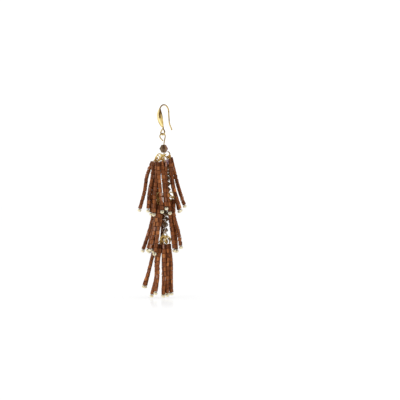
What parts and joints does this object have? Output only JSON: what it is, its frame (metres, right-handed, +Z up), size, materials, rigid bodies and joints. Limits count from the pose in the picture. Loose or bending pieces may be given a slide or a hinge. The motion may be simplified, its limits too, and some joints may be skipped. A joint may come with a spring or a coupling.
{
  "type": "tassel earring",
  "caption": "Long beaded tassel earring on a gold ear hook with a leaf plate, hanging free, with a crystal core and tiers of brown tube-bead strands.",
  "frame": {"origin": "inside top of the ear hook's bow, where the earring hangs on the ear", "axes": "+Z up along the hang, -Y the outward face of the leaf, X across the leaf"},
  "size_m": [0.0235, 0.0211, 0.1158],
  "materials": {
    "gold_metal": "polished gold plate",
    "crystal": "polished smoky brown glass, faceted",
    "strand_beads": "glossy reddish brown glass tube beads"
  },
  "bodies": {
    "hook": {"ear_hook": "gold_metal"},
    "drop": {"eye_pin": "gold_metal", "core_wire_1": "gold_metal", "core_wire_2": "gold_metal", "t1_ring_1": "gold_metal", "t1_ring_2": "gold_metal", "t1_ring_3": "gold_metal", "t1_ring_4": "gold_metal", "t2_ring_1": "gold_metal", "t2_ring_2": "gold_metal", "t2_ring_3": "gold_metal", "t2_ring_4": "gold_metal", "t3_ring_1": "gold_metal", "t3_ring_2": "gold_metal", "t3_ring_3": "gold_metal", "t3_ring_4": "gold_metal", "crown_crystal": "crystal", "core_crystals_1": "crystal", "core_crystals_2": "crystal", "t1_strand_1": "strand_beads", "t1_strand_2": "strand_beads", "t1_strand_3": "strand_beads", "t1_strand_4": "strand_beads", "t1_strand_5": "strand_beads", "t1_strand_6": "strand_beads", "t1_strand_7": "strand_beads", "t1_strand_8": "strand_beads", "t1_strand_9": "strand_beads", "t1_strand_10": "strand_beads", "t1_strand_11": "strand_beads", "t1_strand_12": "strand_beads", "t1_strand_13": "strand_beads", "t2_strand_1": "strand_beads", "t2_strand_2": "strand_beads", "t2_strand_3": "strand_beads", "t2_strand_4": "strand_beads", "t2_strand_5": "strand_beads", "t2_strand_6": "strand_beads", "t2_strand_7": "strand_beads", "t2_strand_8": "strand_beads", "t2_strand_9": "strand_beads", "t2_strand_10": "strand_beads", "t2_strand_11": "strand_beads", "t2_strand_12": "strand_beads", "t3_strand_1": "strand_beads", "t3_strand_2": "strand_beads", "t3_strand_3": "strand_beads", "t3_strand_4": "strand_beads", "t3_strand_5": "strand_beads", "t3_strand_6": "strand_beads", "t3_strand_7": "strand_beads", "t3_strand_8": "strand_beads", "t3_strand_9": "strand_beads", "t3_strand_10": "strand_beads", "t3_strand_11": "strand_beads", "t3_strand_12": "strand_beads"}
  },
  "joints": [
    {"name": "drop_swing", "type": "hinge", "parent": "hook", "child": "drop", "pos_m": [0, -0.0014, -0.01768], "axis": [1, 0, 0], "range_deg": [-60, 60]}
  ]
}
